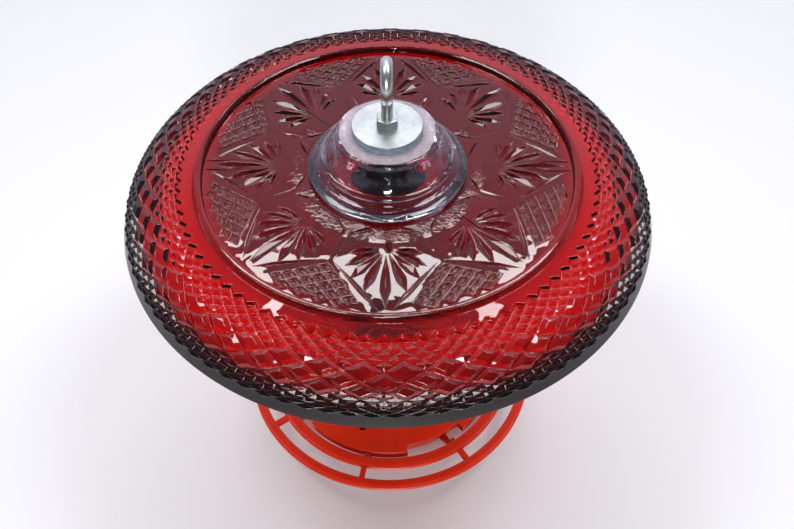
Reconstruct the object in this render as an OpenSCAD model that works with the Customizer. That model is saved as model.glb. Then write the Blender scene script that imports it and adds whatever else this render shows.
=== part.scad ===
// Hummingbird feeder: an upturned pressed-glass plate as the rain roof, a clear glass topper,
// a glass nectar bottle hung from one eye bolt, and a moulded base with a double perch ring.
// Millimetres, +Z up, origin on the table under the middle of the base, front towards -Y.

/* [Roof plate] */
// Radius of the plate at its rim
plate_r = 153; // [150:0.5:156]
// Thickness of the glass
plate_wall = 5; // [4:0.5:6]
// Fall of the side band from shoulder to rim
band_drop = 24.8; // [22:0.4:28]
// Radius where the flat pressed field ends
field_r = 104.3; // [103.5:0.2:105]
// Width of the foot ring at its root
foot_w = 6; // [5:0.5:7]
// Height of the foot ring above the field
foot_h = 3.5; // [2.5:0.5:4.5]
// Depth of the cut diamonds of the side band
band_cut = 1.7; // [1:0.1:2.4]
// Depth of the fan leaves
leaf_cut = 1.3; // [0.8:0.1:2]
// Height of the small hobs between the fans
hob_h = 0.9; // [0.5:0.1:1.4]
// Radius of the drilled hole in each glass piece
glass_hole_r = 5.2; // [5.1:0.1:6]

/* [Glass topper] */
// Radius of the topper's flange
topper_flange_r = 45.2; // [43:0.2:47]
// Radius of the topper's round bead
topper_bead_r = 37.7; // [37:0.2:39]
// Radius of the topper's flat crown
topper_crown_r = 28.3; // [27:0.2:30]
// Height of the topper
topper_h = 25.4; // [24:0.2:28]
// Thickness of the topper's wall
topper_wall = 4; // [3:0.2:4.6]

/* [Eye bolt and fasteners] */
// Diameter of the bolt's wire
bolt_d = 6.35; // [6:0.05:6.5]
// Outside diameter of the eye
eye_d = 25.4; // [24:0.2:30]
// Plain shank between the nut and the eye
shank_show = 10.8; // [8:0.2:16]
// Bolt end that stands out of the lock nut
bolt_tail = 2; // [1:0.5:5]
// Width of the nuts across their flats
nut_flats = 11.11; // [10.8:0.1:11.6]
// Height of the plain nut
nut_h = 5.56; // [5:0.1:6.5]
// Height of the lock nut
lock_nut_h = 7.9; // [7.5:0.1:9]
// Radius of the steel washers
washer_r = 19.05; // [17:0.1:20]
// Thickness of the steel washers
washer_t = 1.6; // [1.2:0.1:2.4]
// Thickness of the rubber washers
rubber_t = 3.2; // [2.4:0.1:4]
// Thickness of the ring pad under the topper
pad_t = 0.8; // [0.6:0.1:1.6]

/* [Nectar bottle] */
// Radius of the bottle's body
bottle_r = 46; // [43:0.5:50]
// Height of the bottle
bottle_h = 187; // [176:1:200]
// Thickness of the bottle's wall
bottle_wall = 3.4; // [2.8:0.2:4]
// Thickness of the bottle's drilled crown
crown_t = 5; // [4:0.5:7]
// Outside radius of the neck
neck_r = 23.4; // [22.5:0.2:24]

/* [Base] */
// Height of the basin's rim above the table
basin_h = 29; // [28:0.5:31]
// Thickness of the moulded walls
base_wall = 2.2; // [1.8:0.1:2.6]
// Radius of the feed ports
port_r = 2.3; // [1.8:0.1:2.8]
// Distance of the ports from the basin's inside wall
port_inset = 6.5; // [5.5:0.1:9]
// Reach of the bayonet tabs beyond the basin's outside
tab_reach = 6.2; // [5.2:0.1:7]
// Angle that each wide lobe covers
lobe_angle = 56.7; // [52:0.5:58]
// Height of the threaded collar above the cover
collar_h = 19; // [16:0.5:22]
// Outside radius of the outer perch ring
perch_r = 103; // [101:0.5:108]
// Width of the outer perch ring
perch_w = 6.4; // [5.5:0.1:7]
// Outside radius of the inner perch ring
inner_ring_r = 88; // [87:0.2:89]
// Width of the inner perch ring
inner_ring_w = 7.6; // [6.5:0.1:8]
// Space between the cover's wide lobes and the inner perch ring
lobe_gap = 4; // [3.4:0.1:5]
// Height of the middle of the perch rings
perch_z = 31.5; // [30:0.5:33]
// Width of the spokes
spoke_w = 3.4; // [2.6:0.1:4.4]

/* [Hidden] */
$fn = 96;

// Clearances
thread_gap = 0.05;
slip_gap = 0.3;
turn_gap = 0.4;

// Heights, from the table up
cover_t = base_wall;
cover_edge_z = basin_h + slip_gap;
cover_rise = 3.4;
collar_floor_z = cover_edge_z + cover_rise + 2;
seal_t = 2;
seal_z = collar_floor_z + base_wall;
mouth_z = seal_z + seal_t;
crown_z = mouth_z + bottle_h;
plate_bottom_z = crown_z + rubber_t;
field_z = plate_bottom_z + plate_wall;
topper_z = field_z + pad_t;
topper_top_z = topper_z + topper_h;
washer_z = topper_top_z + rubber_t;
nut_z = washer_z + washer_t;
eye_low_z = nut_z + nut_h + shank_show;
eye_z = eye_low_z + eye_d / 2;
bottle_ceiling_z = crown_z - crown_t;
inner_washer_z = bottle_ceiling_z - rubber_t - washer_t;
lock_nut_z = inner_washer_z - lock_nut_h;
bolt_end_z = lock_nut_z - bolt_tail;

// Bolt and hole radii
shank_r = bolt_d / 2;
nut_bore_r = shank_r + thread_gap;
washer_hole_r = shank_r + 0.8;
rubber_hole_r = shank_r + slip_gap;
sleeve_in_r = shank_r + 0.2;
sleeve_out_r = glass_hole_r - 0.4;
insert_h = 2.4;
insert_out_r = 4.6;

// Radii of the base, from the inner perch ring inwards
lobe_lip = 1.6;
inner_ring_in_r = inner_ring_r - inner_ring_w;
lobe_r = inner_ring_in_r - lobe_gap;
tab_out_r = lobe_r - lobe_lip - turn_gap;
basin_out_r = tab_out_r - tab_reach;
basin_r = basin_out_r - base_wall;
port_circle_r = basin_r - port_inset;
foot_ring_r = basin_r - 24;

// Turns of the repeating features about the axis, in degrees
petal_turn = -90.5;
band_turn = -86.3;
spoke_turn = -11.6;
port_turn = -19;

// One revolved ring: inner radius, outer radius, lowest height, thickness
module ring(r_in, r_out, z, t) {
    translate([0, 0, z]) difference() {
        cylinder(r = r_out, h = t);
        translate([0, 0, -1]) cylinder(r = r_in, h = t + 2);
    }
}

// Points of an arc in a profile
function arc(c, r, a0, a1, n) =
    [for (i = [0:n]) c + r * [cos(a0 + (a1 - a0) * i / n), sin(a0 + (a1 - a0) * i / n)]];

module eye_bolt() {
    wire_centre_r = (eye_d - bolt_d) / 2;
    color("silver") {
        translate([0, 0, eye_z]) rotate([0, 90, 0])
            rotate_extrude() translate([wire_centre_r, 0]) circle(r = shank_r);
        translate([0, 0, bolt_end_z])
            cylinder(r = shank_r, h = eye_z - wire_centre_r - bolt_end_z);
    }
}

// Hexagon nut with chamfered corners and a clearance bore
module hex_nut(z, h) {
    corner_r = nut_flats / 2 / cos(30);
    translate([0, 0, z]) difference() {
        intersection() {
            rotate(30) cylinder(r = corner_r, h = h, $fn = 6);
            rotate_extrude() polygon([
                [0, 0], [nut_flats / 2 - 0.2, 0], [corner_r, 0.6],
                [corner_r, h - 0.6], [nut_flats / 2 - 0.2, h], [0, h]
            ]);
        }
        translate([0, 0, -1]) cylinder(r = nut_bore_r, h = h + 2);
    }
}

module eye_nut() {
    color("silver") hex_nut(nut_z, nut_h);
}

module fender_washer() {
    color("gainsboro") ring(washer_hole_r, washer_r, washer_z, washer_t);
}

module rubber_washer() {
    color("slategray") ring(rubber_hole_r, washer_r + 0.4, topper_top_z, rubber_t);
}

// Soft tube that keeps the steel off the three drilled glass holes
module bolt_sleeve() {
    color("whitesmoke")
        ring(sleeve_in_r, sleeve_out_r, bottle_ceiling_z, topper_top_z - bottle_ceiling_z);
}

// Small pressed dish, turned over: flange down, flat crown up, hollow below
module glass_topper() {
    crown_round = 2;
    bead_round = 2;
    bead_z = 9.2;
    lip_round = 1.4;
    top_r = topper_crown_r - crown_round;
    inner_top = topper_h - topper_wall;
    waist_r = topper_bead_r - 3.2;
    color("lavender") translate([0, 0, topper_z]) rotate_extrude() polygon(concat(
        [[glass_hole_r, topper_h], [top_r, topper_h]],
        arc([top_r, topper_h - crown_round], crown_round, 60, 0, 3),
        [[topper_crown_r + 2.6, topper_h - 6.5], [waist_r - 0.8, topper_h - 11.6]],
        arc([topper_bead_r - bead_round, bead_z], bead_round, 90, -60, 6),
        [[topper_bead_r + 1.2, 6.2]],
        arc([topper_bead_r + 2.2, 4.4], 1.2, 90, 0, 3),
        [[topper_flange_r - 1.6, 2.9]],
        arc([topper_flange_r - lip_round, lip_round], lip_round, 80, -80, 5),
        [
            [topper_bead_r + 1.6, 0], [topper_bead_r - 2.2, 1.6],
            [waist_r - topper_wall, 9], [topper_crown_r - topper_wall + 1, inner_top - 7],
            [topper_crown_r - topper_wall - 1, inner_top - 1.6],
            [topper_crown_r - topper_wall - 3, inner_top], [glass_hole_r, inner_top]
        ]
    ));
}

// Thin clear ring that beds the topper on the plate
module topper_pad() {
    color("lightsteelblue") ring(topper_bead_r + 2, topper_flange_r - 2, field_z, pad_t);
}

// The plate's side band: a quarter ellipse that carries the diamond lattice
diamonds = 43;
steps = 4 * diamonds;
half_steps = steps / 2;
rows_above = 6;
rows_below = 11;
first_row = -rows_above;
last_row = rows_below;
row_angle = 3.93;
row_zero_angle = 36;
foot_out_r = field_r + foot_w;
band_centre_r = foot_out_r - 2.8;
band_reach = plate_r - band_centre_r;
shoulder_lift = 0.5;

function band_r(t) = band_centre_r + band_reach * sin(t);
function band_z(t) = field_z + shoulder_lift - band_drop * (1 - cos(t));
function band_normal(t) =
    let (n = [sin(t) / band_reach, cos(t) / band_drop]) n / norm(n);
function round_point(r, z, step) =
    [r * cos(step * 360 / steps), r * sin(step * 360 / steps), z];

// A point of the lattice: step round the band, row down it, depth below the skin
function band_point(step, row, depth) =
    let (t = row_zero_angle + row * row_angle, n = band_normal(t))
        round_point(band_r(t) - depth * n[0], band_z(t) - depth * n[1], step);
function row_shift(row) = abs(row) % 2;
function lattice_id(step, row) =
    (row - first_row) * half_steps + floor(((step + steps) % steps) / 2);

lattice_points = [
    for (row = [first_row:last_row], i = [0:half_steps - 1])
        band_point(2 * i + row_shift(row), row, band_cut)
];

// Small diamonds: rows of points above and below the three rows of large diamonds
small_cells = [
    for (row = [first_row + 1:last_row - 1])
        if (row < 0 || row > 4)
            let (by_four = row == -1 || row == 5)
            for (i = [0:(by_four ? diamonds : half_steps) - 1])
                [by_four ? 4 * i + 2 : 2 * i + 1 - row_shift(row), row]
];
large_cells = [
    for (row = [0:2:4], i = [0:diamonds - 1]) [4 * i + (row == 2 ? 2 : 0), row]
];
top_half = 0.92;
small_base = len(lattice_points);
large_base = small_base + len(small_cells);
ring_base = large_base + 4 * len(large_cells);

small_points = [for (c = small_cells) band_point(c[0], c[1], 0.15)];
large_points = [
    for (c = large_cells, d = [[-1, 0], [0, -1], [1, 0], [0, 1]])
        band_point(c[0] + top_half * d[0], c[1] + top_half * d[1], 0)
];

small_faces = [
    for (i = [0:len(small_cells) - 1])
        let (
            s = small_cells[i][0], r = small_cells[i][1], c = small_base + i,
            edge = [
                lattice_id(s - 1, r), lattice_id(s, r - 1), lattice_id(s + 1, r),
                lattice_id(s, r + 1)
            ]
        )
        for (k = [0:3]) [c, edge[k], edge[(k + 1) % 4]]
];
large_faces = [
    for (i = [0:len(large_cells) - 1])
        let (
            s = large_cells[i][0], r = large_cells[i][1], p = large_base + 4 * i,
            corner = [
                lattice_id(s - 2, r), lattice_id(s, r - 2), lattice_id(s + 2, r),
                lattice_id(s, r + 2)
            ],
            middle = [
                lattice_id(s - 1, r - 1), lattice_id(s + 1, r - 1),
                lattice_id(s + 1, r + 1), lattice_id(s - 1, r + 1)
            ]
        )
        each concat(
            [[p, p + 1, p + 2], [p, p + 2, p + 3]],
            [for (k = [0:3]) [p + k, corner[k], middle[k]]],
            [for (k = [0:3]) [p + k, middle[k], p + (k + 1) % 4]],
            [for (k = [0:3]) [p + (k + 1) % 4, middle[k], corner[(k + 1) % 4]]]
        )
];

// Plain rings of the section. Upper ones run over the foot ring, and lower ones run from the
// band round the rim and back under the plate.
rim_round = 2.4;
rim_low_z = field_z + shoulder_lift - band_drop - 2.4;
under_angles = [80, 56, 30, 0];
under_reach = band_reach - plate_wall;
upper_coarse = [
    [field_r, field_z], [field_r + 0.7, field_z + foot_h - 0.7],
    [field_r + 2, field_z + foot_h], [foot_out_r - 2, field_z + foot_h],
    [foot_out_r, field_z + shoulder_lift]
];
lower_fine = [[plate_r, rim_low_z + 1.6], [plate_r - rim_round, rim_low_z]];
lower_coarse = concat(
    [[plate_r - plate_wall + 0.4, rim_low_z + 0.6]],
    [
        for (t = under_angles) [
            band_centre_r + under_reach * sin(t),
            plate_bottom_z - (band_drop - shoulder_lift - 1) * (1 - cos(t))
        ]
    ]
);

function coarse_ring(p) = [for (i = [0:half_steps - 1]) round_point(p[0], p[1], 2 * i)];
function fine_ring(p) = [for (i = [0:steps - 1]) round_point(p[0], p[1], i)];
function next(i, n) = (i + 1) % n;
function strip(upper, lower, n) = [
    for (i = [0:n - 1]) each [
        [upper[i], upper[next(i, n)], lower[next(i, n)]], [upper[i], lower[next(i, n)], lower[i]]
    ]
];
function widen(upper, lower) = [
    for (i = [0:half_steps - 1]) let (j = next(i, half_steps)) each [
        [upper[i], upper[j], lower[2 * i + 1]], [upper[i], lower[2 * i + 1], lower[2 * i]],
        [upper[j], lower[(2 * i + 2) % steps], lower[2 * i + 1]]
    ]
];
function narrow(upper, lower) = [
    for (i = [0:half_steps - 1]) let (j = next(i, half_steps)) each [
        [upper[2 * i], upper[2 * i + 1], lower[i]], [upper[2 * i + 1], lower[j], lower[i]],
        [upper[2 * i + 1], upper[(2 * i + 2) % steps], lower[j]]
    ]
];
function ids(start, n) = [for (i = [0:n - 1]) start + i];

// Zigzag lines where the lattice begins and ends, and the step up to the plain shoulder
edge_rows = 0.5;
upper_zigzag = [
    for (i = [0:steps - 1]) lattice_id(i, i % 2 == 0 ? first_row : first_row + 1)
];
lower_zigzag = [
    for (i = [0:steps - 1]) lattice_id(i, i % 2 == 1 ? last_row : last_row - 1)
];
upper_step = [
    for (i = [0:steps - 1])
        band_point(i, (i % 2 == 0 ? first_row : first_row + 1) - edge_rows, 0)
];

coarse_up = len(upper_coarse);
coarse_down = len(lower_coarse);
up_start = ring_base;
step_start = up_start + coarse_up * half_steps;
fine_down_start = step_start + steps;
down_start = fine_down_start + len(lower_fine) * steps;
centre_top = down_start + coarse_down * half_steps;

function up_ring(k) = ids(up_start + k * half_steps, half_steps);
function down_ring(k) = ids(down_start + k * half_steps, half_steps);
function rim_ring(k) = ids(fine_down_start + k * steps, steps);

plate_points = concat(
    lattice_points, small_points, large_points,
    [for (p = upper_coarse) each coarse_ring(p)], upper_step,
    [for (p = lower_fine) each fine_ring(p)], [for (p = lower_coarse) each coarse_ring(p)],
    [[0, 0, field_z], [0, 0, plate_bottom_z]]
);
plate_faces = concat(
    small_faces, large_faces,
    [for (i = [0:half_steps - 1]) [centre_top, up_ring(0)[next(i, half_steps)], up_ring(0)[i]]],
    [for (k = [0:coarse_up - 2]) each strip(up_ring(k), up_ring(k + 1), half_steps)],
    widen(up_ring(coarse_up - 1), ids(step_start, steps)),
    strip(ids(step_start, steps), upper_zigzag, steps),
    strip(lower_zigzag, rim_ring(0), steps),
    [for (k = [0:len(lower_fine) - 2]) each strip(rim_ring(k), rim_ring(k + 1), steps)],
    narrow(rim_ring(len(lower_fine) - 1), down_ring(0)),
    [for (k = [0:coarse_down - 2]) each strip(down_ring(k), down_ring(k + 1), half_steps)],
    [
        for (i = [0:half_steps - 1])
            let (last = down_ring(coarse_down - 1)) [last[i], last[next(i, half_steps)], centre_top + 1]
    ]
);

// Fans: eight petals, each a spray of leaf cuts from one hub
petals = 8;
hub_r = 61;
leaf_angles = [0, 20.5, 40.5, 60, 79];
leaf_ends = [40, 32.5, 28.5, 25, 20];
leaf_widths = [5.6, 5.2, 5, 4.6, 4];
leaf_start = 4;

// One leaf cut: pointed at both ends, widest past its middle, with a V bottom
module leaf(length, width, depth) {
    lift = 0.3;
    half = (depth + lift) / depth * width / 2;
    outline = [
        [-lift, 0], [0.38 * length, 0.72 * half], [0.68 * length, half], [length + lift, 0],
        [0.68 * length, -half], [0.38 * length, -0.72 * half]
    ];
    hull() polyhedron(
        points = concat(
            [for (p = outline) [p[0], p[1], lift]],
            [[0.3 * length, 0, -depth], [0.72 * length, 0, -depth]]
        ),
        faces = [[0, 1, 2, 3, 4, 5], [6, 1, 0], [7, 3, 2]]
    );
}

module fan() {
    translate([hub_r, 0, 0]) for (i = [0:len(leaf_angles) - 1], side = [-1, 1])
        if (i > 0 || side > 0)
            rotate(side * leaf_angles[i]) translate([leaf_start, 0, 0])
                leaf(leaf_ends[i] - leaf_start, leaf_widths[i], leaf_cut);
}

// Groove along one side of a petal, from the valley between two petals to the tip
valley_r = 75;
tip_r = field_r - 1.6;
groove_w = 2.8;
module petal_groove() {
    from = valley_r * [cos(180 / petals - 1.2), sin(180 / petals - 1.2)];
    along = tip_r * [cos(1.4), sin(1.4)] - from;
    translate([from[0], from[1], 0]) rotate(atan2(along[1], along[0]))
        leaf(norm(along), groove_w, leaf_cut * 0.6);
}

// Hob field between two petals: a net of rhombic cells, each rising to a point
hob_rows = 6;
hob_pitch = 6.3;
hob_angle = 54;
hob_base = 0.25;
hob_start_r = valley_r + 1.6;
function hob_xy(i, j) =
    [hob_start_r, 0] + hob_pitch * (i * [cos(hob_angle), sin(hob_angle)]
        + j * [cos(hob_angle), -sin(hob_angle)]);
function hob_id(i, j) = j * (hob_rows + 1) + i;
hob_cells = [
    for (j = [0:hob_rows - 1], i = [0:hob_rows - 1])
        if (i + j < hob_rows && norm(hob_xy(i + 1, j + 1)) < field_r - 0.6) [i, j]
];
hob_nodes = [for (j = [0:hob_rows], i = [0:hob_rows]) hob_xy(i, j)];
hob_tops = [for (c = hob_cells) hob_xy(c[0] + 0.5, c[1] + 0.5)];
hob_count = len(hob_nodes);
function has_hob(i, j) = len([for (c = hob_cells) if (c == [i, j]) 1]) > 0;
hob_faces = concat(
    [
        for (k = [0:len(hob_cells) - 1])
            let (
                i = hob_cells[k][0], j = hob_cells[k][1], top = 2 * hob_count + k,
                c = [hob_id(i, j), hob_id(i + 1, j), hob_id(i + 1, j + 1), hob_id(i, j + 1)]
            )
            each concat(
                [for (m = [0:3]) [top, c[m], c[(m + 1) % 4]]],
                [[for (m = [3:-1:0]) c[m] + hob_count]]
            )
    ],
    [
        for (c = hob_cells, m = [0:3])
            let (
                ring = [[0, 0], [1, 0], [1, 1], [0, 1]],
                side = [[0, -1], [1, 0], [0, 1], [-1, 0]][m],
                a = hob_id(c[0] + ring[m][0], c[1] + ring[m][1]),
                b = hob_id(c[0] + ring[(m + 1) % 4][0], c[1] + ring[(m + 1) % 4][1])
            )
            if (!has_hob(c[0] + side[0], c[1] + side[1]))
                [b, a, a + hob_count, b + hob_count]
    ]
);
module hob_field() {
    polyhedron(
        points = concat(
            [for (p = hob_nodes) [p[0], p[1], hob_base]],
            [for (p = hob_nodes) [p[0], p[1], -1]],
            [for (p = hob_tops) [p[0], p[1], hob_base + hob_h]]
        ),
        faces = hob_faces
    );
}

// Small star of leaf cuts round the topper
star_points = 8;
star_in_r = 36;
star_out_r = 53;

module roof_plate() {
    color("darkred") difference() {
        union() {
            rotate(band_turn) polyhedron(points = plate_points, faces = plate_faces);
            translate([0, 0, field_z]) for (k = [0:petals - 1])
                rotate(petal_turn + (k + 0.5) * 360 / petals) hob_field();
        }
        translate([0, 0, field_z]) for (k = [0:petals - 1]) rotate(petal_turn + k * 360 / petals) {
            fan();
            petal_groove();
            mirror([0, 1, 0]) petal_groove();
        }
        translate([0, 0, field_z]) for (k = [0:star_points - 1])
            rotate(petal_turn + (k + 0.5) * 360 / star_points) translate([star_in_r, 0, 0])
                leaf(star_out_r - star_in_r - 3 * (k % 2), 3.4, leaf_cut * 0.7);
        translate([0, 0, plate_bottom_z - 1])
            cylinder(r = glass_hole_r, h = plate_wall + 2, $fn = 32);
    }
}

module crown_gasket() {
    color("dimgray") ring(glass_hole_r, washer_r, crown_z, rubber_t);
}

// Blown bottle, mouth down: drilled flat crown, straight body, round shoulder, beaded neck
module glass_bottle() {
    base_round = 8;
    in_round = base_round - bottle_wall;
    inner_r = bottle_r - bottle_wall;
    neck_in_r = neck_r - bottle_wall - 0.6;
    shoulder_r = bottle_r - neck_r;
    shoulder_z = mouth_z + 26;
    bead_z = mouth_z + 19.4;
    bead_round = 1.6;
    color("aliceblue") rotate_extrude() polygon(concat(
        [[glass_hole_r, crown_z]],
        arc([bottle_r - base_round, crown_z - base_round], base_round, 90, 0, 8),
        arc([bottle_r - shoulder_r / 2, shoulder_z + shoulder_r], shoulder_r / 2, 0, -90, 8),
        arc([neck_r + shoulder_r / 2, shoulder_z], shoulder_r / 2, 90, 180, 8),
        arc([neck_r, bead_z], bead_round, 80, -80, 6),
        [
            [neck_r, mouth_z + 1], [neck_r - 1, mouth_z], [neck_in_r + 1, mouth_z],
            [neck_in_r, mouth_z + 1]
        ],
        arc(
            [neck_r + shoulder_r / 2, shoulder_z], shoulder_r / 2 + neck_r - neck_in_r,
            180, 110, 8
        ),
        arc(
            [bottle_r - shoulder_r / 2, shoulder_z + shoulder_r], shoulder_r / 2 - bottle_wall,
            -70, 0, 8
        ),
        arc([inner_r - in_round, bottle_ceiling_z - in_round], in_round, 0, 90, 6),
        [[glass_hole_r, bottle_ceiling_z]]
    ));
}

module inner_rubber_washer() {
    color("dimgray")
        ring(rubber_hole_r, washer_r - 2, bottle_ceiling_z - rubber_t, rubber_t);
}

module inner_fender_washer() {
    color("gainsboro") ring(washer_hole_r, washer_r - 2, inner_washer_z, washer_t);
}

// Lock nut: hexagon with a turned cup below it that holds the nylon ring
module lock_nut() {
    hex_h = lock_nut_h - insert_h;
    cup_r = nut_flats / 2 - 0.1;
    color("silver") {
        hex_nut(lock_nut_z + insert_h, hex_h);
        difference() {
            translate([0, 0, lock_nut_z]) cylinder(r = cup_r, h = insert_h + 0.7);
            translate([0, 0, lock_nut_z - 1]) cylinder(r = insert_out_r, h = insert_h + 1);
            translate([0, 0, lock_nut_z - 1]) cylinder(r = nut_bore_r, h = insert_h + 3);
        }
    }
}

module lock_nut_insert() {
    color("white") ring(nut_bore_r, insert_out_r - 0.02, lock_nut_z + 0.2, insert_h - 0.2);
}

// Flat ring under the bottle's mouth
module neck_seal() {
    color("ghostwhite") ring(neck_r - 5.4, neck_r - 0.2, seal_z, seal_t);
}

// Turned-over saucer with a threaded collar, eight ports and four wide lobes
collar_in_r = neck_r + slip_gap;
collar_out_r = collar_in_r + 2.6;
collar_top_z = seal_z + collar_h;
feed_hole_r = neck_r - 7;
plain_edge_r = basin_out_r + 2.4;
skirt_r = basin_r - turn_gap;
skirt_depth = 7;
ledge_t = 1.4;
tab_t = 1.8;
tab_z = basin_h - tab_t;
ledge_z = tab_z - turn_gap - ledge_t;
tab_angle = 20;
tab_inset = 3;
stop_angle = 4;
ports = 8;
lobes = 4;

// The sector of a ring, from one angle to another
module ring_sector(r_in, r_out, z, t, a0, a1) {
    rotate(a0) rotate_extrude(angle = a1 - a0)
        translate([r_in, z]) square([r_out - r_in, t]);
}

module port_cover() {
    color("orangered") difference() {
        union() {
            rotate_extrude() polygon([
                [feed_hole_r, collar_floor_z], [collar_out_r + 1, collar_floor_z],
                [port_circle_r, cover_edge_z + cover_rise - cover_t],
                [skirt_r - base_wall, cover_edge_z],
                [skirt_r - base_wall, cover_edge_z - skirt_depth],
                [skirt_r, cover_edge_z - skirt_depth], [skirt_r, cover_edge_z],
                [plain_edge_r, cover_edge_z], [plain_edge_r, cover_edge_z + cover_t - 0.7],
                [plain_edge_r - 0.7, cover_edge_z + cover_t],
                [port_circle_r + 5, cover_edge_z + cover_t + 0.9],
                [port_circle_r - 5, cover_edge_z + cover_rise],
                [collar_out_r + 2, collar_floor_z + base_wall + 0.6],
                [collar_out_r, collar_floor_z + base_wall + 2.6],
                [collar_out_r, collar_top_z - 0.6], [collar_out_r - 0.6, collar_top_z],
                [collar_in_r, collar_top_z], [collar_in_r, seal_z], [feed_hole_r, seal_z]
            ]);
            for (k = [0:lobes - 1]) rotate(port_turn + k * 360 / lobes) {
                ring_sector(
                    plain_edge_r - 1, lobe_r - 0.6, cover_edge_z, cover_t,
                    -lobe_angle / 2, lobe_angle / 2
                );
                ring_sector(
                    lobe_r - lobe_lip, lobe_r, ledge_z, cover_edge_z - ledge_z + cover_t - 0.6,
                    -lobe_angle / 2, lobe_angle / 2
                );
                ring_sector(
                    plain_edge_r + 0.8, lobe_r - 1, ledge_z, ledge_t,
                    -lobe_angle / 2, lobe_angle / 2
                );
                ring_sector(
                    basin_out_r + 1.2, lobe_r - 1, ledge_z, cover_edge_z - ledge_z + 1,
                    -lobe_angle / 2 + tab_inset + tab_angle + 1,
                    -lobe_angle / 2 + tab_inset + tab_angle + 1 + stop_angle
                );
            }
        }
        for (k = [0:ports - 1]) rotate(port_turn + k * 360 / ports)
            translate([port_circle_r, 0, cover_edge_z - 1])
                cylinder(r = port_r, h = cover_rise + cover_t + 2);
    }
}

// Deep saucer with a rolled rim, four bayonet tabs, eight spokes and two perch rings
module rounded_ring(r_in, r_out, z_mid, h) {
    bevel = 1.5;
    rotate_extrude() polygon([
        [r_in, z_mid - h / 2 + bevel], [r_in + bevel, z_mid - h / 2],
        [r_out - bevel, z_mid - h / 2], [r_out, z_mid - h / 2 + bevel],
        [r_out, z_mid + h / 2 - bevel], [r_out - bevel, z_mid + h / 2],
        [r_in + bevel, z_mid + h / 2], [r_in, z_mid + h / 2 - bevel]
    ]);
}

module perch_basin() {
    ring_h = 6;
    spoke_h = 4;
    basin_foot_h = 1.2;
    side_round = 20;
    gusset_top_z = ledge_z - 1.6;
    color("orangered") {
        rotate_extrude() polygon(concat(
            [[0, basin_foot_h], [foot_ring_r - 2, basin_foot_h], [foot_ring_r - 2, 0]],
            arc([foot_ring_r, side_round], side_round, -90, -50, 4),
            [[basin_out_r - 4, basin_h - 17], [basin_out_r, basin_h - 9], [basin_out_r, basin_h]],
            [
                [basin_r, basin_h], [basin_r, basin_h - 9],
                [basin_r - 3.4, basin_h - 15.6]
            ],
            arc([foot_ring_r, side_round], side_round - base_wall, -50, -90, 4),
            [[foot_ring_r - 3, basin_foot_h + base_wall], [0, basin_foot_h + base_wall]]
        ));
        for (k = [0:lobes - 1])
            rotate(port_turn + k * 360 / lobes - lobe_angle / 2 + tab_inset)
                ring_sector(basin_out_r - 0.8, tab_out_r, tab_z, tab_t, 0, tab_angle);
        rounded_ring(inner_ring_in_r, inner_ring_r, perch_z, ring_h);
        rounded_ring(perch_r - perch_w, perch_r, perch_z, ring_h);
        for (k = [0:7]) rotate(spoke_turn + k * 45) {
            translate([inner_ring_r - 1, -spoke_w / 2, perch_z - spoke_h / 2])
                cube([perch_r - perch_w - inner_ring_r + 2, spoke_w, spoke_h]);
            translate([0, spoke_w / 2, 0]) rotate([90, 0, 0]) linear_extrude(height = spoke_w)
                polygon([
                    [basin_out_r - 1, gusset_top_z], [tab_out_r + 2.4, gusset_top_z],
                    [lobe_r + 1.6, perch_z + 1], [inner_ring_in_r + 2, perch_z + 1],
                    [inner_ring_in_r + 2, perch_z - 2.5], [lobe_r + 3, gusset_top_z - 2.6],
                    [basin_out_r - 3, gusset_top_z - 8]
                ]);
        }
    }
}

eye_bolt();
eye_nut();
fender_washer();
rubber_washer();
bolt_sleeve();
glass_topper();
topper_pad();
roof_plate();
crown_gasket();
glass_bottle();
inner_rubber_washer();
inner_fender_washer();
lock_nut();
lock_nut_insert();
neck_seal();
port_cover();
perch_basin();
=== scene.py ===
import math

import bmesh
import bpy
from mathutils import Matrix, Vector


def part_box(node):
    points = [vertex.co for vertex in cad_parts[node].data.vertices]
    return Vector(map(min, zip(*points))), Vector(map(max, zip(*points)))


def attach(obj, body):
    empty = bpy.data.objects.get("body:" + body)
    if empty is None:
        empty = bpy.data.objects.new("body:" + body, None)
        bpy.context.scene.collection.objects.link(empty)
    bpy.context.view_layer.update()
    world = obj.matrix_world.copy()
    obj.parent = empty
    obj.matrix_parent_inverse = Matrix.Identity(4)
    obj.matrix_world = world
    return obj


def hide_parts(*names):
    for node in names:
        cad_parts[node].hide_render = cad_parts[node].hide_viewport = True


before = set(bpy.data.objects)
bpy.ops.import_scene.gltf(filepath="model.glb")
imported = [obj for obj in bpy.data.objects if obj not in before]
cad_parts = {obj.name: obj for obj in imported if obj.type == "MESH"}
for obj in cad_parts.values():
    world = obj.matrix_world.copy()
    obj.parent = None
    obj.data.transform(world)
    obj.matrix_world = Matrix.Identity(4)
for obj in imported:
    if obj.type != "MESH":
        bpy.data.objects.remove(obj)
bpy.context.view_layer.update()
bpy.ops.object.select_all(action="DESELECT")


# Perch basin: a saucer with a double perch ring on eight spokes, injection moulded in one
# piece from red polypropylene. It stands on its foot ring, and the cover's bayonet holds it.
def srgb(code):
    """Linear colour of a hex code, with full alpha."""
    parts = [int(code[i:i + 2], 16) / 255 for i in (1, 3, 5)]
    return [c / 12.92 if c <= 0.04045 else ((c + 0.055) / 1.055) ** 2.4 for c in parts] + [1.0]


def add_node(material, kind, inputs=None, **settings):
    """Adds a shader node; an input is a value or another node's output."""
    node = material.node_tree.nodes.new(kind)
    for name, value in settings.items():
        setattr(node, name, value)
    for socket, value in (inputs or {}).items():
        if isinstance(value, bpy.types.NodeSocket):
            material.node_tree.links.new(value, node.inputs[socket])
        else:
            node.inputs[socket].default_value = value
    return node


def new_material(name):
    """An empty node material that shows what its surface node gives."""
    material = bpy.data.materials.new(name)
    material.use_nodes = True
    material.node_tree.nodes.clear()
    return material


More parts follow.
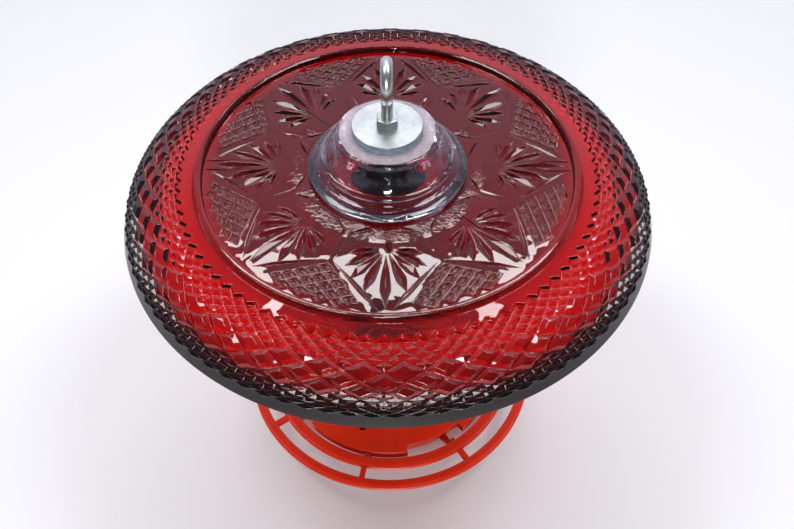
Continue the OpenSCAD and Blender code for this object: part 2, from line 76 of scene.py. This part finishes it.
def cad_copy(node, name, gap=2e-6, join_flat=True):
    """A copy of a CAD node, on its own, with its doubles merged and flat faces joined."""
    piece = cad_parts[node].copy()
    piece.data = piece.data.copy()
    piece.name = name
    piece.parent = None
    piece.matrix_world = Matrix.Identity(4)
    for key in list(piece.keys()):
        del piece[key]
    bpy.context.scene.collection.objects.link(piece)
    bpy.ops.object.select_all(action="DESELECT")
    bpy.context.view_layer.objects.active = piece
    piece.select_set(True)
    bpy.ops.object.mode_set(mode="EDIT")
    bpy.ops.mesh.select_all(action="SELECT")
    bpy.ops.mesh.remove_doubles(threshold=gap)
    if join_flat:
        bpy.ops.mesh.dissolve_limited(angle_limit=math.radians(0.3))
    bpy.ops.object.mode_set(mode="OBJECT")
    piece.data.materials.clear()
    return piece


def soften(piece, edge, corner=30, steps=2):
    """Rounds off the edges of a piece that are sharper than the corner angle."""
    bevel = piece.modifiers.new("edge rounding", "BEVEL")
    bevel.width = edge
    bevel.segments = steps
    bevel.limit_method = "ANGLE"
    bevel.angle_limit = math.radians(corner)
    bpy.ops.object.modifier_apply(modifier=bevel.name)
    bpy.ops.object.shade_smooth_by_angle(angle=math.radians(corner + 5))


# Polypropylene, moulded in a polished tool: an even orange red that light enters a little,
# with faint flow marks and a gloss that the handling has dulled.
red_plastic = new_material("moulded red polypropylene")
place = add_node(red_plastic, "ShaderNodeTexCoord")
flow = add_node(red_plastic, "ShaderNodeTexNoise", {
    "Vector": place.outputs["Object"], "Scale": 28.0, "Detail": 3.0, "Roughness": 0.55})
shade = add_node(red_plastic, "ShaderNodeValToRGB", {"Fac": flow.outputs["Fac"]})
shade.color_ramp.elements[0].position = 0.32
shade.color_ramp.elements[0].color = srgb("#E02906")
shade.color_ramp.elements[1].position = 0.7
shade.color_ramp.elements[1].color = srgb("#EE340A")
dulling = add_node(red_plastic, "ShaderNodeMapRange", {
    "Value": flow.outputs["Fac"], "To Min": 0.3, "To Max": 0.42})
grain = add_node(red_plastic, "ShaderNodeTexNoise", {
    "Vector": place.outputs["Object"], "Scale": 900.0, "Detail": 2.0})
ripple = add_node(red_plastic, "ShaderNodeBump", {
    "Height": grain.outputs["Fac"], "Strength": 0.05, "Distance": 0.0003})
skin = add_node(red_plastic, "ShaderNodeBsdfPrincipled", {
    "Base Color": shade.outputs["Color"], "Roughness": dulling.outputs["Result"],
    "Normal": ripple.outputs["Normal"], "IOR": 1.49, "Subsurface Weight": 0.15,
    "Subsurface Radius": (1.0, 0.12, 0.04), "Subsurface Scale": 0.004})
add_node(red_plastic, "ShaderNodeOutputMaterial", {"Surface": skin.outputs["BSDF"]})

basin = cad_copy("perch_basin", "basin_with_perch")
soften(basin, 0.0005)
basin.data.materials.append(red_plastic)
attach(basin, "basin")
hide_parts("perch_basin")

# Port cover: the saucer's lid, with the bottle's threaded collar and the feed ports moulded
# in. Its wide lobes hook under the basin's four tabs when it is twisted.
cover = cad_copy("port_cover", "cover_with_collar")
soften(cover, 0.0004)
cover.data.materials.append(red_plastic)
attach(cover, "cover")
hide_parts("port_cover")


# Neck seal: a flat ring cut from pale silicone sheet. It lies loose in the collar, and the
# bottle's mouth presses on it.
def dress(node, material):
    """Gives a CAD node its finish."""
    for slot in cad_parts[node].material_slots:
        slot.material = material


silicone = new_material("pale silicone sheet")
place = add_node(silicone, "ShaderNodeTexCoord")
cloud = add_node(silicone, "ShaderNodeTexNoise", {
    "Vector": place.outputs["Object"], "Scale": 300.0, "Detail": 3.0})
shade = add_node(silicone, "ShaderNodeValToRGB", {"Fac": cloud.outputs["Fac"]})
shade.color_ramp.elements[0].color = srgb("#CFCBC2")
shade.color_ramp.elements[1].color = srgb("#E3E0D8")
skin = add_node(silicone, "ShaderNodeBsdfPrincipled", {
    "Base Color": shade.outputs["Color"], "Roughness": 0.45, "IOR": 1.41,
    "Subsurface Weight": 0.2, "Subsurface Scale": 0.002})
add_node(silicone, "ShaderNodeOutputMaterial", {"Surface": skin.outputs["BSDF"]})
dress("neck_seal", silicone)

# Nectar bottle: blown flint glass, mouth down, its base drilled for the bolt. The mould
# leaves the wall a little wavy, and the iron in the sand leaves it faintly green.
bottle_glass = new_material("blown flint glass")
place = add_node(bottle_glass, "ShaderNodeTexCoord")
waves = add_node(bottle_glass, "ShaderNodeTexNoise", {
    "Vector": place.outputs["Object"], "Scale": 45.0, "Detail": 1.5})
wavy = add_node(bottle_glass, "ShaderNodeBump", {
    "Height": waves.outputs["Fac"], "Strength": 0.35, "Distance": 0.0006})
tint = add_node(bottle_glass, "ShaderNodeMixRGB", {
    "Fac": waves.outputs["Fac"], "Color1": srgb("#F4FBF8"), "Color2": srgb("#F9FDFC")})
skin = add_node(bottle_glass, "ShaderNodeBsdfPrincipled", {
    "Base Color": tint.outputs["Color"], "Roughness": 0.01, "IOR": 1.52,
    "Transmission Weight": 1.0, "Normal": wavy.outputs["Normal"]})
add_node(bottle_glass, "ShaderNodeOutputMaterial", {"Surface": skin.outputs["BSDF"]})
dress("glass_bottle", bottle_glass)

# Rubber rings: three, cut from blue-black rubber sheet, which keep steel off the glass and
# the plate off the bottle. Talc from the cutting still greys them.
rubber = new_material("cut sheet rubber")
place = add_node(rubber, "ShaderNodeTexCoord")
talc = add_node(rubber, "ShaderNodeTexNoise", {
    "Vector": place.outputs["Object"], "Scale": 260.0, "Detail": 5.0, "Roughness": 0.7})
shade = add_node(rubber, "ShaderNodeValToRGB", {"Fac": talc.outputs["Fac"]})
shade.color_ramp.elements[0].position = 0.35
shade.color_ramp.elements[0].color = srgb("#667986")
shade.color_ramp.elements[1].position = 0.75
shade.color_ramp.elements[1].color = srgb("#9AABB6")
grain = add_node(rubber, "ShaderNodeBump", {
    "Height": talc.outputs["Fac"], "Strength": 0.25, "Distance": 0.0003})
skin = add_node(rubber, "ShaderNodeBsdfPrincipled", {
    "Base Color": shade.outputs["Color"], "Roughness": 0.62, "IOR": 1.52,
    "Normal": grain.outputs["Normal"]})
add_node(rubber, "ShaderNodeOutputMaterial", {"Surface": skin.outputs["BSDF"]})
for ring in ("crown_gasket", "inner_rubber_washer", "rubber_washer"):
    dress(ring, rubber)

# Sleeve and topper pad: clear soft vinyl, extruded as tube and cut as a thin ring, which
# keep the bolt off the drilled holes and bed the topper's rim.
vinyl = new_material("clear soft vinyl")
place = add_node(vinyl, "ShaderNodeTexCoord")
haze = add_node(vinyl, "ShaderNodeTexNoise", {
    "Vector": place.outputs["Object"], "Scale": 180.0, "Detail": 2.0})
frost = add_node(vinyl, "ShaderNodeMapRange", {
    "Value": haze.outputs["Fac"], "To Min": 0.18, "To Max": 0.34})
skin = add_node(vinyl, "ShaderNodeBsdfPrincipled", {
    "Base Color": srgb("#E6EAF0"), "Roughness": frost.outputs["Result"], "IOR": 1.53,
    "Transmission Weight": 0.9})
add_node(vinyl, "ShaderNodeOutputMaterial", {"Surface": skin.outputs["BSDF"]})
for piece in ("bolt_sleeve", "topper_pad"):
    dress(piece, vinyl)

# Roof plate: a ruby plate pressed in an iron mould and turned over, so that its cut-glass
# pattern faces the sky. Its edges are fire polished, and its heavy rim gets nearly black painted
# shade.
plate_low, plate_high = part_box("roof_plate")
foot_height = 0.0035
field_height = plate_high.z - foot_height
ruby_glass = new_material("pressed ruby glass")


def result(operation, *values):
    """What a maths node of the ruby glass gives."""
    return add_node(
        ruby_glass, "ShaderNodeMath", dict(enumerate(values)), operation=operation).outputs["Value"]


def slope(value, start, end, low, high):
    """A value taken from one range to another, and held at its ends."""
    return add_node(ruby_glass, "ShaderNodeMapRange", {
        "Value": value, "From Min": start, "From Max": end, "To Min": low, "To Max": high,
    }).outputs["Result"]


place = add_node(ruby_glass, "ShaderNodeTexCoord")
apart = add_node(ruby_glass, "ShaderNodeSeparateXYZ", {"Vector": place.outputs["Object"]})
x, y, height = (apart.outputs[axis] for axis in "XYZ")
radius = result("SQRT", result("ADD", result("MULTIPLY", x, x), result("MULTIPLY", y, y)))
chill = add_node(ruby_glass, "ShaderNodeTexNoise", {
    "Vector": place.outputs["Object"], "Scale": 60.0, "Detail": 2.0, "Roughness": 0.5})
chill_marks = add_node(ruby_glass, "ShaderNodeBump", {
    "Height": chill.outputs["Fac"], "Strength": 0.3, "Distance": 0.0004})

# the plunger chilled a ring of the field round the topper's rim, which crackled
crackle_depth = 0.0002
crackle = add_node(ruby_glass, "ShaderNodeTexNoise", {
    "Vector": place.outputs["Object"], "Scale": 520.0, "Detail": 2.0})
chilled_ring = result(
    "MULTIPLY",
    slope(radius, 0.045, 0.049, 0.0, crackle_depth), slope(radius, 0.053, 0.058, 1.0, 0.0))
relief = add_node(ruby_glass, "ShaderNodeBump", {
    "Height": result("MULTIPLY", crackle.outputs["Fac"], chilled_ring),
    "Strength": 1.0, "Distance": 1.0, "Normal": chill_marks.outputs["Normal"]})

# Painted light and shade in the glass's colour: lighter red in the middle, wine red over the shaded
# field, light red in the side where lit table shows through, and nearly black painted shade in the
# heavy rim.
painted_light_middle_red, painted_shade_field_red, painted_light_side_red, painted_shade_rim_red = "#C41C34", "#801030", "#FA381E", "#1C0206"
# painted shade: the glass low in the rim is painted nearly black
painted_shade_rim = slope(height, plate_low.z + 0.01, plate_low.z + 0.018, 1.0, 0.0)
painted_light_and_shade = add_node(ruby_glass, "ShaderNodeValToRGB", {
    "Fac": slope(radius, 0.0, 0.15, 0.0, 1.0)})
for share, colour in ((0.17, painted_light_middle_red), (0.23, painted_shade_field_red), (0.65, painted_shade_field_red), (0.76, painted_light_side_red)):
    painted_light_and_shade.color_ramp.elements.new(share).color = srgb(colour)
painted_light_and_shade.color_ramp.elements[0].color = srgb(painted_light_middle_red)
painted_light_and_shade.color_ramp.elements[-1].color = srgb(painted_light_side_red)
# painted light and shade mixed into the glass's base colour
tint = add_node(ruby_glass, "ShaderNodeMixRGB", {
    "Fac": painted_shade_rim, "Color1": painted_light_and_shade.outputs["Color"], "Color2": srgb(painted_shade_rim_red)})
skin = add_node(ruby_glass, "ShaderNodeBsdfPrincipled", {
    "Base Color": tint.outputs["Color"], "Roughness": 0.015, "IOR": 1.51,
    "Transmission Weight": 1.0, "Normal": relief.outputs["Normal"]})
depth = add_node(ruby_glass, "ShaderNodeVolumeAbsorption", {
    "Color": (0.895, 0.02, 0.03, 1.0), "Density": 800.0})
add_node(ruby_glass, "ShaderNodeOutputMaterial", {
    "Surface": skin.outputs["BSDF"], "Volume": depth.outputs["Volume"]})

plate = cad_copy("roof_plate", "ruby_roof_plate", gap=0.0001, join_flat=False)
pressed_radius = 0.1035
hob_tip = field_height + 0.0009
ridge_height = field_height + 0.00025


def in_field(point):
    """Whether a point lies on the flat pressed field inside the foot ring."""
    return Vector((point.x, point.y)).length < pressed_radius


def pick(piece, kind, rule):
    """Selects the vertices or the faces of a piece, in edit mode, that a rule accepts."""
    shape = bmesh.from_edit_mesh(piece.data)
    bpy.ops.mesh.select_all(action="DESELECT")
    bpy.ops.mesh.select_mode(type="VERT" if kind == "verts" else "FACE")
    for element in getattr(shape, kind):
        if rule(element):
            element.select_set(True)
    shape.select_flush_mode()
    bmesh.update_edit_mesh(piece.data)


# the hobs' tips go, which leaves the flat cells of their net
bpy.ops.object.mode_set(mode="EDIT")
pick(plate, "verts", lambda v: in_field(v.co) and v.co.z > hob_tip)
bpy.ops.mesh.dissolve_verts()

# the small cuts round the topper's rim fill up
star_inside, old_cuts_outside, star_outside = 0.03, 0.054, 0.0585
pick(plate, "verts", lambda v: star_inside < v.co.xy.length < old_cuts_outside
     and field_height - 0.002 < v.co.z < field_height - 0.0001)
for point in bmesh.from_edit_mesh(plate.data).verts:
    if point.select:
        point.co.z = field_height
bpy.ops.object.mode_set(mode="OBJECT")

# the outline of a star takes their place: two thin cuts meet at each of its eight tips
tip_count, first_tip = 8, -68.0
tip_radius, tip_slant = 0.0565, 136.5
cut_length, cut_width, cut_depth = 0.017, 0.0017, 0.0009
tip_gap = 0.0002
cutters = []
for tip_number in range(tip_count):
    outward = math.radians(first_tip + 360 / tip_count * tip_number)
    tip = tip_radius * Vector((math.cos(outward), math.sin(outward)))
    for slant in (-tip_slant, tip_slant):
        along = outward + math.radians(slant)
        middle = tip + (cut_length / 2 + tip_gap) * Vector((math.cos(along), math.sin(along)))
        bpy.ops.mesh.primitive_uv_sphere_add(
            segments=4, ring_count=2, radius=1, location=(*middle, field_height),
            rotation=(0, 0, along), scale=(cut_length / 2, cut_width / 2, cut_depth))
        cutters.append(bpy.context.object)
bpy.ops.object.select_all(action="DESELECT")
for cutter in cutters:
    cutter.select_set(True)
bpy.context.view_layer.objects.active = cutters[0]
bpy.ops.object.join()
star_cuts = bpy.context.object
bpy.ops.object.select_all(action="DESELECT")
bpy.context.view_layer.objects.active = plate
plate.select_set(True)
cut = plate.modifiers.new("star cuts", "BOOLEAN")
cut.object = star_cuts
cut.solver = "EXACT"
bpy.ops.object.modifier_apply(modifier=cut.name)
bpy.data.objects.remove(star_cuts)

# every edge but the star's is fire polished
bpy.ops.object.mode_set(mode="EDIT")
bpy.ops.mesh.select_mode(type="EDGE")
bpy.ops.mesh.select_all(action="DESELECT")
bpy.ops.mesh.edges_select_sharp(sharpness=math.radians(12))
shape = bmesh.from_edit_mesh(plate.data)
for edge in shape.edges:
    if edge.select and star_inside < edge.verts[0].co.xy.length < star_outside:
        edge.select_set(False)
bmesh.update_edit_mesh(plate.data)
bpy.ops.mesh.bevel(offset=0.0003, segments=2, affect="EDGES", clamp_overlap=False)


def is_cell(face):
    """Whether a face is a flat cell between the ridges of a hob field."""
    middle = face.calc_center_median()
    return (
        in_field(middle) and abs(middle.z - ridge_height) < 0.00005 and face.normal.z > 0.999
        and 15e-6 < face.calc_area() < 45e-6)


# each cell sinks between the ridges of the net, and a small round boss rises in it
ridge_side, ridge_slope, cell_depth = 0.00075, 0.0003, 0.0006
boss_radius, boss_height = 0.0015, 0.0008
pick(plate, "faces", is_cell)
bpy.ops.mesh.inset(thickness=ridge_side, depth=0.0, use_individual=True)
bpy.ops.mesh.inset(thickness=ridge_slope, depth=-cell_depth, use_individual=True)
shape = bmesh.from_edit_mesh(plate.data)
cell_middles = [face.calc_center_median() for face in shape.faces if face.select]
bpy.ops.mesh.subdivide(number_cuts=7)
shape = bmesh.from_edit_mesh(plate.data)
floor_points = [v for v in shape.verts if v.select]
for middle in cell_middles:
    for point in floor_points:
        away = (point.co.xy - middle.xy).length / boss_radius
        if away < 1:
            point.co.z = middle.z + boss_height * (1 + math.cos(math.pi * away)) / 2
bmesh.update_edit_mesh(plate.data)
bpy.ops.object.mode_set(mode="OBJECT")
bpy.ops.object.shade_smooth_by_angle(angle=math.radians(28))
weigh = plate.modifiers.new("flat faces stay flat", "WEIGHTED_NORMAL")
weigh.keep_sharp = True
bpy.ops.object.modifier_apply(modifier=weigh.name)
plate.data.materials.append(ruby_glass)
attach(plate, "bottle")
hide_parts("roof_plate")

# Topper: a small pressed dish of clear glass turned over on the plate. Manganese in the
# old batch has turned it faintly lavender.
clear_glass = new_material("pressed lavender glass")
place = add_node(clear_glass, "ShaderNodeTexCoord")
chill = add_node(clear_glass, "ShaderNodeTexNoise", {
    "Vector": place.outputs["Object"], "Scale": 90.0, "Detail": 2.0})
chill_marks = add_node(clear_glass, "ShaderNodeBump", {
    "Height": chill.outputs["Fac"], "Strength": 0.3, "Distance": 0.0005})
tint = add_node(clear_glass, "ShaderNodeMixRGB", {
    "Fac": chill.outputs["Fac"], "Color1": srgb("#E7E2F2"), "Color2": srgb("#EFEBF7")})
skin = add_node(clear_glass, "ShaderNodeBsdfPrincipled", {
    "Base Color": tint.outputs["Color"], "Roughness": 0.012, "IOR": 1.51,
    "Transmission Weight": 1.0, "Normal": chill_marks.outputs["Normal"]})
add_node(clear_glass, "ShaderNodeOutputMaterial", {"Surface": skin.outputs["BSDF"]})

# Its crown was ground flat for the washer, and the ground face stays pale.
ground_glass = new_material("ground face of the glass")
place = add_node(ground_glass, "ShaderNodeTexCoord")
grind = add_node(ground_glass, "ShaderNodeTexNoise", {
    "Vector": place.outputs["Object"], "Scale": 350.0, "Detail": 4.0, "Roughness": 0.65})
shade = add_node(ground_glass, "ShaderNodeValToRGB", {"Fac": grind.outputs["Fac"]})
shade.color_ramp.elements[0].position = 0.3
shade.color_ramp.elements[0].color = srgb("#B9A9B4")
shade.color_ramp.elements[1].position = 0.7
shade.color_ramp.elements[1].color = srgb("#E2D6DE")
scratches = add_node(ground_glass, "ShaderNodeBump", {
    "Height": grind.outputs["Fac"], "Strength": 0.4, "Distance": 0.0003})
skin = add_node(ground_glass, "ShaderNodeBsdfPrincipled", {
    "Base Color": shade.outputs["Color"], "Roughness": 0.42, "IOR": 1.51,
    "Transmission Weight": 0.5, "Normal": scratches.outputs["Normal"]})
add_node(ground_glass, "ShaderNodeOutputMaterial", {"Surface": skin.outputs["BSDF"]})

topper = cad_copy("glass_topper", "pressed_glass_topper")
soften(topper, 0.0005, steps=3)
topper.data.materials.append(clear_glass)
topper.data.materials.append(ground_glass)
topper_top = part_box("glass_topper")[1].z
for face in topper.data.polygons:
    if face.normal.z > 0.99 and face.center.z > topper_top - 0.0002:
        face.material_index = 1
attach(topper, "bottle")
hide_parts("glass_topper")

# Washers and nuts: mild steel with bright zinc plating. The washers are punched and lie
# flat with faint rolling marks; the nuts are cold formed.
zinc = new_material("bright zinc plated steel")
place = add_node(zinc, "ShaderNodeTexCoord")
spangle = add_node(zinc, "ShaderNodeTexNoise", {
    "Vector": place.outputs["Object"], "Scale": 120.0, "Detail": 6.0, "Roughness": 0.7})
shade = add_node(zinc, "ShaderNodeValToRGB", {"Fac": spangle.outputs["Fac"]})
shade.color_ramp.elements[0].position = 0.3
shade.color_ramp.elements[0].color = srgb("#A9AEAF")
shade.color_ramp.elements[1].position = 0.72
shade.color_ramp.elements[1].color = srgb("#D3D7D6")
dulling = add_node(zinc, "ShaderNodeMapRange", {
    "Value": spangle.outputs["Fac"], "To Min": 0.24, "To Max": 0.42})
marks = add_node(zinc, "ShaderNodeBump", {
    "Height": spangle.outputs["Fac"], "Strength": 0.2, "Distance": 0.0002})
skin = add_node(zinc, "ShaderNodeBsdfPrincipled", {
    "Base Color": shade.outputs["Color"], "Metallic": 1.0,
    "Roughness": dulling.outputs["Result"], "Normal": marks.outputs["Normal"]})
add_node(zinc, "ShaderNodeOutputMaterial", {"Surface": skin.outputs["BSDF"]})
for piece in ("eye_nut", "fender_washer", "inner_fender_washer", "lock_nut"):
    dress(piece, zinc)

# Eye bolt: quarter-inch rod, plated after it was bent cold. It leaves its line in a tight
# bend, goes round the eye and stops just short of its own shank.
rod_radius, ring_radius, bend_radius = 0.003175, 0.009525, 0.004
bolt_low, bolt_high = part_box("eye_bolt")
eye_middle = bolt_high.z - ring_radius - rod_radius
bend_turn = math.acos(bend_radius / (ring_radius + bend_radius))
bend_height = eye_middle - (ring_radius + bend_radius) * math.sin(bend_turn)
eye_turn = math.radians(307.8)
bpy.ops.mesh.primitive_circle_add(
    vertices=32, radius=rod_radius, location=(0, 0, bolt_low.z))
bolt = bpy.context.object
bolt.name = "bent_eye_bolt"
bpy.ops.object.transform_apply()
bpy.ops.object.mode_set(mode="EDIT")
bpy.ops.mesh.select_all(action="SELECT")
bpy.ops.mesh.extrude_edges_move(
    TRANSFORM_OT_translate={"value": (0, 0, bend_height - bolt_low.z)})
bpy.ops.mesh.spin(
    steps=12, angle=bend_turn, center=(0, bend_radius, bend_height), axis=(1, 0, 0))
bpy.ops.mesh.spin(steps=60, angle=-eye_turn, center=(0, 0, eye_middle), axis=(1, 0, 0))
bpy.ops.mesh.select_all(action="SELECT")
bpy.ops.mesh.fill_holes(sides=0)
bpy.ops.mesh.normals_make_consistent(inside=False)
bpy.ops.object.mode_set(mode="OBJECT")
soften(bolt, 0.0005, corner=50)
bolt.data.materials.append(zinc)
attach(bolt, "bottle")
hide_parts("eye_bolt")

# Lock nut insert: a moulded ring of white nylon, pressed into the lock nut. The bolt cuts
# its own way through it, so the nut can't shake loose.
nylon = new_material("moulded nylon")
place = add_node(nylon, "ShaderNodeTexCoord")
cloud = add_node(nylon, "ShaderNodeTexNoise", {
    "Vector": place.outputs["Object"], "Scale": 500.0, "Detail": 2.0})
shade = add_node(nylon, "ShaderNodeValToRGB", {"Fac": cloud.outputs["Fac"]})
shade.color_ramp.elements[0].color = srgb("#DAD9D2")
shade.color_ramp.elements[1].color = srgb("#EDECE6")
skin = add_node(nylon, "ShaderNodeBsdfPrincipled", {
    "Base Color": shade.outputs["Color"], "Roughness": 0.4, "IOR": 1.53,
    "Subsurface Weight": 0.2, "Subsurface Scale": 0.001})
add_node(nylon, "ShaderNodeOutputMaterial", {"Surface": skin.outputs["BSDF"]})
dress("lock_nut_insert", nylon)

# Studio: a white table top under the feeder, a low wide window behind it with two narrow
# strips of light above, a soft panel at left and at right, and a small low lamp in front.
floor_paint = new_material("white table top")
place = add_node(floor_paint, "ShaderNodeTexCoord")
mottle = add_node(floor_paint, "ShaderNodeTexNoise", {
    "Vector": place.outputs["Object"], "Scale": 3.0, "Detail": 2.0})
shade = add_node(floor_paint, "ShaderNodeMixRGB", {
    "Fac": mottle.outputs["Fac"], "Color1": srgb("#F1F1F3"), "Color2": srgb("#F5F5F6")})
skin = add_node(floor_paint, "ShaderNodeBsdfPrincipled", {
    "Base Color": shade.outputs["Color"], "Roughness": 0.7})
add_node(floor_paint, "ShaderNodeOutputMaterial", {"Surface": skin.outputs["BSDF"]})
bpy.ops.mesh.primitive_circle_add(vertices=64, radius=3.0, fill_type="NGON")
floor = bpy.context.object
floor.name = "table_top"
floor.data.materials.append(floor_paint)

target = Vector((0.0, 0.0, plate_high.z))


def soft_light(name, direction, distance, size, strength):
    """A rectangular lamp that faces the plate from a bearing and a height in degrees."""
    bearing, height = (math.radians(a) for a in direction)
    away = Vector((
        math.sin(bearing) * math.cos(height), math.cos(bearing) * math.cos(height),
        math.sin(height)))
    data = bpy.data.lights.new(name, "AREA")
    data.shape = "RECTANGLE"
    data.size, data.size_y = size
    data.energy = strength
    lamp = bpy.data.objects.new(name, data)
    lamp.location = target + away * distance
    lamp.rotation_euler = away.to_track_quat("Z", "Y").to_euler()
    bpy.context.scene.collection.objects.link(lamp)


soft_light("window_behind", (0, 53.6), 1.6, (0.9, 0.106), 4)
soft_light("left_strip", (-25, 62), 1.6, (0.4, 0.05), 1)
soft_light("right_strip", (17, 64), 1.6, (0.5, 0.06), 1.2)
soft_light("left_panel", (-75, 62), 1.6, (0.4, 0.7), 9)
soft_light("right_panel", (75, 62), 1.6, (0.4, 0.7), 9)
soft_light("low_lamp", (180, 24), 1.5, (0.3, 0.3), 12)

# The room is dim in front of the feeder and bright behind it.
world = bpy.data.worlds.new("room")
world.use_nodes = True
room = world.node_tree.nodes["Background"]
view = world.node_tree.nodes.new("ShaderNodeTexCoord")
split = world.node_tree.nodes.new("ShaderNodeSeparateXYZ")
walls = world.node_tree.nodes.new("ShaderNodeValToRGB")
reach = world.node_tree.nodes.new("ShaderNodeMapRange")
reach.inputs["From Min"].default_value = -1.0
for start, end in (
        (view.outputs["Generated"], split.inputs["Vector"]),
        (split.outputs["Y"], reach.inputs["Value"]),
        (reach.outputs["Result"], walls.inputs["Fac"]),
        (walls.outputs["Color"], room.inputs["Color"])):
    world.node_tree.links.new(start, end)
walls.color_ramp.elements[0].position = 0.3
walls.color_ramp.elements[0].color = (0.14, 0.14, 0.15, 1.0)
walls.color_ramp.elements[1].position = 0.87
walls.color_ramp.elements[1].color = (0.8, 0.81, 0.97, 1.0)
walls.color_ramp.elements.new(0.79).color = (0.34, 0.33, 0.41, 1.0)
room.inputs["Strength"].default_value = 1.0
bpy.context.scene.world = world

lens = bpy.data.cameras.new("camera")
lens.sensor_width = 36.0
lens.lens = 38.69
camera = bpy.data.objects.new("camera", lens)
camera_place = (0.00512, -0.3504, 0.5733)
look_down = math.radians(50.671)
roll = math.radians(-0.125)
toward = Vector((0.0, math.cos(look_down), -math.sin(look_down)))
level = Vector((1.0, 0.0, 0.0))
over = level.cross(toward)
side = level * math.cos(roll) + over * math.sin(roll)
up = over * math.cos(roll) - level * math.sin(roll)
camera.matrix_world = Matrix.Translation(camera_place) @ Matrix(
    (side, up, -toward)).transposed().to_4x4()
bpy.context.scene.collection.objects.link(camera)
bpy.context.scene.camera = camera
bpy.context.scene.view_settings.view_transform = "Standard"
